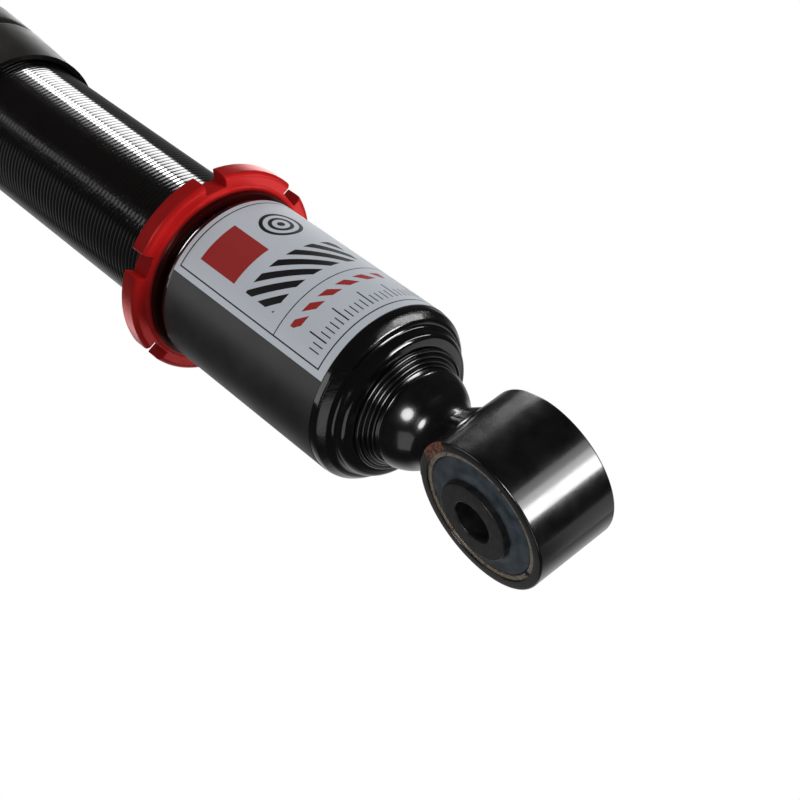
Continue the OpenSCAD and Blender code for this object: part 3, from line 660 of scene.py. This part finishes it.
def makeStem():
    waves = [point for radius, height in stem["ripples"]
             for point in arc(radius, height, stem["rippleRadius"], -130, 40, 4)]
    section = (stem["foot"] + arc(*stem["neck"]) + arc(*stem["boss"]) + stem["groove"] + eased(waves, 2)
               + stem["top"])
    bm = lathe(section, 160, closed=False)
    for vert in bm.verts:
        if vert.co.z < 20 * mm:
            vert.co.z = saddle(vert.co.x) - stem["sink"] * mm
    makePiece(bm, "eyeStem", paint, "lower_mount", ["eye_stem"])
    bm = lathe(stem["weld"], 240)
    for vert in bm.verts:
        radius = math.hypot(vert.co.x, vert.co.y)
        turn = math.atan2(vert.co.y, vert.co.x)
        outside = min(1, max(0, (radius / mm - 11.3) / 1.5))
        bead = abs(math.sin(turn * stem["beads"] / 2 + 0.4 * math.sin(3 * turn))) ** 0.6
        rough = stem["beadRough"] * noise.noise(vert.co * stem["beadScale"])
        lift = outside * stem["beadHeight"] * mm * (bead + rough)
        vert.co.z += saddle(vert.co.x) + lift * 0.6
        vert.co.x += lift * math.cos(turn)
        vert.co.y += lift * math.sin(turn)
    makePiece(bm, "stemWeld", weldPaint, "lower_mount", ["stem_weld"], 60)


shell = {
    "collar": [(17, 48.6, 0), (22.4, 48.6, 0)],
    "step": (23.6, 51.2, 2.3, -90, 0, 12),
    "hollow": (27.6, 51.9, 1.6, 180, 90, 8),
    "section": [(28.4, 53.9, 0.25), (29.8, 55.5, 0), (30.4, 56.4, 0.2), (30.7, 57.6, 0), (30.7, 139.8, 4.2),
                (26.65, 139.8, 0), (26.05, 139.2, 0), (26.05, 60, 0), (17, 60, 0)],
    "sheetBottom": 59.2, "sheetTop": 135.2, "sheetThickness": 0.09,
    "wrapRadius": 30.73, "labelRadius": 30.84, "labelStart": -47.5, "labelEnd": 104,
}


def curvedSheet(radius, start, end, steps):  # a film round the shell, with its own millimetres as UV
    s = shell
    turn = math.radians(end - start)
    bm = bmesh.new()
    foot = Matrix.Rotation(math.radians(start), 3, "Z") @ Vector((radius * mm, 0, 0))
    low = bm.verts.new(foot + Vector((0, 0, s["sheetBottom"] * mm)))
    high = bm.verts.new(foot + Vector((0, 0, s["sheetTop"] * mm)))
    edge = bm.edges.new((low, high))
    bmesh.ops.spin(bm, geom=[low, high, edge], cent=(0, 0, 0), axis=(0, 0, 1), angle=turn, steps=steps,
                   use_merge=False)
    if end - start > 359:
        bmesh.ops.remove_doubles(bm, verts=bm.verts, dist=2e-6)
    for face in bm.faces:
        middle = face.calc_center_median()
        if face.normal.dot(Vector((middle.x, middle.y, 0))) < 0:
            face.normal_flip()
    layer = bm.loops.layers.uv.new("sheet")
    for face in bm.faces:
        middle = face.calc_center_median()
        centre = (math.degrees(math.atan2(middle.y, middle.x)) - start) % 360
        for loop in face.loops:
            own = (math.degrees(math.atan2(loop.vert.co.y, loop.vert.co.x)) - start) % 360
            own += 360 if own < centre - 180 else -360 if own > centre + 180 else 0
            loop[layer].uv = (math.radians(own) * radius, loop.vert.co.z / mm - s["sheetBottom"])
    bmesh.ops.solidify(bm, geom=bm.faces[:], thickness=-s["sheetThickness"] * mm)
    return bm


def makeShell():
    section = shell["collar"] + arc(*shell["step"]) + arc(*shell["hollow"]) + shell["section"]
    bm = lathe(section, 192, segments=6)
    makePiece(bm, "bracketShell", turnedPaint, "lower_mount", ["bracket_shell"])
    wrap = curvedSheet(shell["wrapRadius"], 0, 360, 192)
    putPiece(wrap, "blackWrap", wrapFilm, "lower_mount")
    label = curvedSheet(shell["labelRadius"], shell["labelStart"], shell["labelEnd"], 96)
    putPiece(label, "silverLabel", labelFilm, "lower_mount")


ring = {
    "radius": 37.8,
    "section": [(26.05, 140.3, 0), (26.55, 139.8, 0), (31.5, 139.8, 0.3), (31.5, 142.7, 1.8),
                (37.8, 142.7, 1.8), (37.8, 150, 0.5), (26.55, 150, 0), (26.05, 149.5, 0)],
    "notches": 6, "notchWidth": 8, "notchDepth": 4.1, "phase": 5.6, "edge": 0.25,
    "toolReach": 12, "toolHeight": 14, "toolMiddle": 145,
}


def cutAway(piece, tools):  # subtracts the tools from a piece, and keeps the result as its mesh
    piece.modifiers.clear()
    for tool in tools:
        cut = piece.modifiers.new("cut", "BOOLEAN")
        cut.object = tool
        cut.operation = "DIFFERENCE"
        cut.solver = "EXACT"
    bpy.context.view_layer.update()
    result = bpy.data.meshes.new_from_object(piece.evaluated_get(bpy.context.evaluated_depsgraph_get()))
    piece.modifiers.clear()
    piece.data = result
    for tool in tools:
        bpy.data.objects.remove(tool)


def softenEdges(piece, width, segments=2, angle=32):
    bevel = piece.modifiers.new("softEdges", "BEVEL")
    bevel.width = width * mm
    bevel.segments = segments
    bevel.limit_method = "ANGLE"
    bevel.angle_limit = math.radians(angle)
    bevel.harden_normals = False
    evenNormals(piece)


def toolBlock(size, place, turn):  # a cutting block, size and place in mm, turned about Z
    bm = bmesh.new()
    bmesh.ops.create_cube(bm, size=1)
    bmesh.ops.scale(bm, verts=bm.verts, vec=[s * mm for s in size])
    bmesh.ops.translate(bm, verts=bm.verts, vec=[p * mm for p in place])
    bmesh.ops.rotate(bm, verts=bm.verts, cent=(0, 0, 0), matrix=Matrix.Rotation(math.radians(turn), 3, "Z"))
    return plainObject(bm, "tool")


def plainObject(bm, name):
    mesh = bpy.data.meshes.new(name)
    bm.to_mesh(mesh)
    bm.free()
    thing = bpy.data.objects.new(name, mesh)
    scene.collection.objects.link(thing)
    return thing


def makeRing():
    r = ring
    bm = lathe(r["section"], 192, segments=4)
    piece = makePiece(bm, "lockRing", redRing, "lock_ring", ["lock_ring"])
    size = (r["toolReach"], r["notchWidth"], r["toolHeight"])
    place = (r["radius"] - r["notchDepth"] + r["toolReach"] / 2, 0, r["toolMiddle"])
    tools = [toolBlock(size, place, r["phase"] + i * 360 / r["notches"]) for i in range(r["notches"])]
    cutAway(piece, tools)
    piece.data.set_sharp_from_angle(angle=math.radians(38))
    softenEdges(piece, r["edge"])


tube = {
    "pitch": 2.0, "crest": 26.0, "root": 25.0, "crestShare": 0.86, "rootShare": 0.04,
    "shoulder": 0.03, "shoulderDrops": (0.08, 0.01),  # how the crest rounds off: share of the pitch, and mm
    "bore": 22, "bottom": 76, "top": 337, "grooveRadius": 22.8, "groove": (334, 335.6),
    "steps": 96, "turnsInOne": 5, "doublings": 5,
}


def allOf(bm):
    return bm.verts[:] + bm.edges[:] + bm.faces[:]


def duplicated(bm):  # copies the whole mesh, and gives the copy's vertices
    copy = bmesh.ops.duplicate(bm, geom=allOf(bm))["geom"]
    return [part for part in copy if isinstance(part, bmesh.types.BMVert)]


def helix(profile, pitch, steps, turns, doublings, start):
    # one thread section swept round a few turns, then doubled upwards and welded
    bm = bmesh.new()
    chain = [bm.verts.new((radius * mm, 0, (start + height) * mm)) for radius, height in profile]
    edges = [bm.edges.new(pair) for pair in zip(chain, chain[1:])]
    bmesh.ops.spin(bm, geom=chain + edges, cent=(0, 0, 0), axis=(0, 0, 1), angle=2 * math.pi * turns,
                   dvec=(0, 0, pitch * mm / steps), steps=steps * turns, use_merge=False)
    height = pitch * turns * mm
    for i in range(doublings):
        bmesh.ops.translate(bm, verts=duplicated(bm), vec=(0, 0, height))
        height *= 2
    bmesh.ops.remove_doubles(bm, verts=bm.verts, dist=5e-6)
    return bm


def trim(bm, low, high):  # keeps what lies between two heights in mm
    for height, side in ((low, -1), (high, 1)):
        bmesh.ops.bisect_plane(bm, geom=allOf(bm), plane_co=(0, 0, height * mm), plane_no=(0, 0, side),
                               clear_outer=True, dist=1e-7)


def openLoop(bm, height):  # the open edges at one height
    def isThere(vert):
        return abs(vert.co.z - height * mm) < 2e-6

    return [e for e in bm.edges if e.is_boundary and all(isThere(v) for v in e.verts)]


def circleEdges(bm, steps, radius, height):
    verts = bmesh.ops.create_circle(bm, segments=steps, radius=radius * mm,
                                    matrix=Matrix.Translation((0, 0, height * mm)))["verts"]
    return list({e for v in verts for e in v.link_edges})


def makeBody():
    b = tube
    flank = (1 - b["crestShare"] - b["rootShare"]) / 2
    low, high = b["rootShare"] + flank, 1 - flank
    first, second = [b["crest"] - drop for drop in b["shoulderDrops"]]
    profile = [(b["root"], 0), (b["root"], b["rootShare"]), (first, low), (second, low + b["shoulder"]),
               (b["crest"], high - b["crestShare"] / 2), (second, high - b["shoulder"]), (first, high),
               (b["root"], 1)]
    profile = [(radius, share * b["pitch"]) for radius, share in profile]
    bm = helix(profile, b["pitch"], b["steps"], b["turnsInOne"], b["doublings"], b["bottom"] - 2 * b["pitch"])
    trim(bm, b["bottom"], b["top"])
    low, high = openLoop(bm, b["bottom"]), openLoop(bm, b["top"])
    inner = [(b["bore"], b["bottom"]), (b["bore"], b["groove"][0]), (b["grooveRadius"], b["groove"][0]),
             (b["grooveRadius"], b["groove"][1]), (b["bore"], b["groove"][1]), (b["bore"], b["top"])]
    last = low
    for radius, height in inner:
        loop = circleEdges(bm, b["steps"], radius, height)
        bmesh.ops.bridge_loops(bm, edges=last + loop)
        last = loop
    bmesh.ops.bridge_loops(bm, edges=last + high)
    makePiece(bm, "threadedBody", threadFinish, "damper_body", ["body_tube"], 50)


boot = {
    "mouthRadius": 29.1, "mouth": 272.75, "crease": 301, "shoulder": 324, "firstFold": 336, "top": 473.7,
    "folds": 8, "valley": 29, "crown": 33.3, "collar": 10, "wall": 1.8, "lean": 4.07, "leanX": 0.58,
    "wave": 0.35, "waveScale": 45, "waveStretch": 0.6, "calm": 20, "steps": 144,
}


def makeBoot():
    b = boot
    pitch = (b["top"] - b["collar"] - b["firstFold"]) / b["folds"]
    collar = b["top"] - b["collar"]
    section = [(b["mouthRadius"], b["mouth"], 0), (29.3, b["mouth"] + 3, 0.8), (31.3, 298.6, 0.8),
               (29.9, b["crease"], 0.5), (31.6, 303.6, 1.2), (32.8, b["shoulder"], 2.5)]
    for i in range(b["folds"]):
        foot = b["firstFold"] + i * pitch
        section += [(b["valley"], foot, 1.2), (b["crown"], foot + 0.4 * pitch, 1.2),
                    (b["crown"], foot + 0.62 * pitch, 1.2)]
    section += [(b["valley"], collar, 0.8), (32, collar + 2, 0.8), (32, b["top"], 0)]
    bm = lathe(section, b["steps"], closed=False, segments=3)
    for vert in bm.verts:
        radius = math.hypot(vert.co.x, vert.co.y)
        free = min(1, max(0, (b["crease"] * mm - vert.co.z) / ((b["crease"] - b["mouth"]) * mm)))
        vert.co.z -= free * mm * (b["leanX"] * vert.co.x + b["lean"] * vert.co.y) / radius
        calm = min(1, max(0, (b["top"] * mm - vert.co.z) / (b["calm"] * mm)))
        place = Vector((vert.co.x, vert.co.y, vert.co.z * b["waveStretch"])) * b["waveScale"]
        wave = b["wave"] * mm * calm * noise.noise(place)
        vert.co.x *= 1 + wave / radius
        vert.co.y *= 1 + wave / radius
    bmesh.ops.recalc_face_normals(bm, faces=bm.faces)
    bmesh.ops.solidify(bm, geom=bm.faces[:], thickness=b["wall"] * mm)
    piece = putPiece(bm, "rubberBoot", greyRubber, None, ["dust_boot"], 70)
    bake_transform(piece)


top = {
    "foam": {"bore": 7, "end": 14, "bottom": 438, "top": 474, "lobes": 3, "waist": 14.2, "swell": 17.4},
    "cupPlate": [(5, 474, 0), (31, 474, 0.3), (32.9, 474.4, 0.6), (33, 476.5, 0.5), (5, 476.5, 0)],
    "spacer": [(5, 476.5, 0), (10, 476.5, 0.3), (10, 478.5, 0.4), (6.6, 486, 0.5), (6.6, 488, 0.2),
               (5, 488, 0)],
    "nut": {"flats": 17, "bottom": 504, "height": 8, "bore": 5},
    "knob": {"radius": 9, "bottom": 515.5, "height": 14, "flutes": 12, "depth": 0.8},
    "plate": {"bottom": 491.5, "top": 500, "disc": 26, "ear": 12, "half": 38, "housingBottom": 487,
              "housing": 20, "pocket": 13, "lip": 11.5, "pocketFloor": 490},
    "stud": {"radius": 5, "shank": 5.2, "pitch": 1.5, "root": 4.1, "crest": 0.2, "top": 525,
             "headRadius": 7.5, "headBottom": 488.5, "headHeight": 3, "threadFrom": 501.5, "runOut": 0.6},
}


def makeBumpStop():
    f = top["foam"]
    section = [(f["bore"], f["bottom"], 0.6), (f["end"], f["bottom"], 0.8)]
    lift = (f["top"] - f["bottom"]) / f["lobes"]
    for i in range(f["lobes"]):  # each lobe is 1 mm larger than the one below it
        foot = f["bottom"] + i * lift
        section += [(f["waist"] + i, foot + 0.15 * lift, 0.8), (f["swell"] + i, foot + 0.35 * lift, 1.6),
                    (f["swell"] + i, foot + 0.65 * lift, 1.6), (f["waist"] + 0.4 + i, foot + 0.9 * lift, 0.8)]
    section += [(16, f["top"], 0), (f["bore"], f["top"], 0)]
    piece = makePiece(lathe(section, 96), "bumpStop", stopFoam, "rod", ["bump_stop"])


def makeNut(name, values, material, body, node):
    across, low, tall, bore = values["flats"] / 2, values["bottom"], values["height"], values["bore"]
    corner = across * 2 / math.sqrt(3)
    bm = lathe([(bore + 0.5, low, 0), (across, low, 0), (corner, low + 0.9, 0), (corner, low + tall - 0.9, 0),
                (across, low + tall, 0), (bore + 0.5, low + tall, 0), (bore, low + tall - 0.5, 0),
                (bore, low + 0.5, 0)], 96)
    for i in range(6):
        turn = math.radians(60 * i)
        normal = Vector((math.cos(turn), math.sin(turn), 0))
        cut = bmesh.ops.bisect_plane(bm, geom=allOf(bm), plane_co=normal * across * mm, plane_no=normal,
                                     clear_outer=True, dist=1e-7)["geom_cut"]
        bmesh.ops.contextual_create(bm, geom=[g for g in cut if isinstance(g, bmesh.types.BMEdge)])
    makePiece(bm, name, material, body, [node], 25)


def makeKnob():
    k = top["knob"]
    low, high, radius = k["bottom"], k["bottom"] + k["height"], k["radius"]
    bm = lathe([(0, low, 0), (radius - 0.6, low, 0), (radius, low + 0.8, 0.3), (radius, low + 3, 0.2),
                (radius, high - 1.6, 0.2), (radius - 1.4, high, 0.5), (4.5, high, 0.3), (4, high - 0.8, 0.2),
                (0, high - 0.8, 0)], 192, closed=False)
    for vert in bm.verts:
        reach = math.hypot(vert.co.x, vert.co.y)
        height = (vert.co.z / mm - low - 2.4) / 1.2
        if reach > (radius - 2) * mm and height > 0:
            wave = max(0, math.cos(k["flutes"] * math.atan2(vert.co.y, vert.co.x))) ** 1.5
            share = min(1, height) * min(1, (reach / mm - radius + 2) / 1.2)
            vert.co.x *= 1 - wave * share * k["depth"] * mm / reach
            vert.co.y *= 1 - wave * share * k["depth"] * mm / reach
    makePiece(bm, "adjusterKnob", redRing, "adjuster", ["adjuster_knob"], 50)


def toolRod(radius, place, low, high, steps=64):  # a cutting rod along Z, in mm
    bm = bmesh.new()
    bmesh.ops.create_cone(bm, cap_ends=True, segments=steps, radius1=radius * mm, radius2=radius * mm,
                          depth=(high - low) * mm)
    bmesh.ops.translate(bm, verts=bm.verts, vec=(place * mm, 0, (low + high) / 2 * mm))
    return plainObject(bm, "tool")


def makePlate():
    p = top["plate"]
    bm = bmesh.new()
    for radius, place in ((p["disc"], 0), (p["ear"], p["half"]), (p["ear"], -p["half"])):
        for height in (p["bottom"], p["top"]):
            bmesh.ops.create_circle(bm, segments=96, radius=radius * mm,
                                    matrix=Matrix.Translation((place * mm, 0, height * mm)))
    hull = bmesh.ops.convex_hull(bm, input=bm.verts[:] + bm.edges[:])
    spare = {g for g in hull["geom_interior"] + hull["geom_unused"] if isinstance(g, bmesh.types.BMVert)}
    bmesh.ops.delete(bm, geom=list(spare), context="VERTS")
    bmesh.ops.dissolve_limit(bm, angle_limit=0.001, verts=bm.verts[:], edges=bm.edges[:])
    piece = makePiece(bm, "mountPlate", blackPlate, "top_mount", ["mount_plate"], 35)
    tools = [toolRod(p["pocket"], 0, p["bottom"] - 3, p["top"] + 2, 96)]
    tools += [toolRod(top["stud"]["shank"], place, p["bottom"] - 2, p["top"] + 2, 48)
              for place in (-p["half"], p["half"])]
    cutAway(piece, tools)
    piece.data.set_sharp_from_angle(angle=math.radians(35))
    softenEdges(piece, 0.6, 3, 50)
    housing = lathe([(p["lip"], p["housingBottom"], 0.3), (p["housing"] - 1, p["housingBottom"], 0.6),
                     (p["housing"], p["bottom"], 0), (p["pocket"], p["bottom"], 0),
                     (p["pocket"], p["pocketFloor"], 0), (p["lip"], p["pocketFloor"], 0)], 128)
    makePiece(housing, "bearingHousing", blackPlate, "top_mount")


def makeStuds():
    s = top["stud"]
    flank = (s["radius"] - s["root"]) * math.tan(math.radians(30))
    rise = s["pitch"] - 2 * flank - s["crest"]
    profile = [(s["root"], 0), (s["root"], rise), (s["radius"], rise + flank),
               (s["radius"], s["pitch"] - flank), (s["root"], s["pitch"])]
    bm = helix(profile, s["pitch"], 40, 3, 3, s["threadFrom"] - 3)
    tip, start = s["top"] - 1, s["threadFrom"] - s["runOut"]
    trim(bm, s["threadFrom"], tip)
    for height, neck, radius in ((s["threadFrom"], start, s["radius"]), (tip, s["top"], s["root"] - 0.3)):
        loop = circleEdges(bm, 40, radius, neck)
        bmesh.ops.bridge_loops(bm, edges=openLoop(bm, height) + loop)
        if neck > height:
            bmesh.ops.contextual_create(bm, geom=loop)
    head = s["headBottom"] + s["headHeight"]
    plateTop = top["plate"]["top"]
    shank = lathe([(0, s["headBottom"], 0), (s["headRadius"] - 0.2, s["headBottom"], 0.4),
                   (s["headRadius"], head, 0.2), (s["shank"], head, 0), (s["shank"], plateTop, 0),
                   (s["radius"], plateTop, 0), (s["radius"], start, 0)], 40, closed=False)
    mesh = bpy.data.meshes.new("shank")
    shank.to_mesh(mesh)
    shank.free()
    bm.from_mesh(mesh)
    bmesh.ops.remove_doubles(bm, verts=bm.verts, dist=2e-6)
    bmesh.ops.translate(bm, verts=bm.verts, vec=(top["plate"]["half"] * mm, 0, 0))
    bmesh.ops.rotate(bm, verts=duplicated(bm), cent=(0, 0, 0), matrix=Matrix.Rotation(math.pi, 3, "Z"))
    makePiece(bm, "mountStuds", zincSteel, "top_mount", ["mount_studs"], 40)


nodeFinishes = {
    "base_plug": aluminium, "base_oring": sealRubber, "gas_valve": brass, "seal_head": aluminium,
    "guide_bush": bronze, "rod_seal": sealRubber, "wiper_seal": sealRubber, "seal_head_oring": sealRubber,
    "retaining_ring": plainSteel, "body_cap": blackPlate, "floating_piston": aluminium,
    "floating_oring": sealRubber, "piston_rod": chrome, "piston": aluminium, "piston_band": bandPolymer,
    "compression_shims": plainSteel, "rebound_shims": plainSteel, "piston_nut": zincSteel,
    "rebound_stop": bandPolymer, "bearing_ball": bearingSteel, "upper_spacer": zincSteel,
    "needle_rod": plainSteel, "bearing_race": plainSteel, "bearing_circlip": plainSteel,
}


def finishNodes():
    for name, material in nodeFinishes.items():
        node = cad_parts[name]
        node.data.materials.clear()
        node.data.materials.append(material)


makeEye()
makeStem()
print("eye and stem ready")
makeShell()
makeRing()
print("bracket and ring ready")
makeBody()
makeBoot()
print("body and boot ready")
makeBumpStop()
makePiece(lathe(top["cupPlate"], 128), "cupPlate", blackPlate, "rod", ["boot_plate"])
makePiece(lathe(top["spacer"], 96), "lowerSpacer", zincSteel, "rod", ["lower_spacer"])
makeNut("topNut", top["nut"], zincSteel, "rod", "top_nut")
makeKnob()
makePlate()
makeStuds()
finishNodes()
print("top mount ready")

aimLamps()
scene.view_settings.view_transform = "Standard"
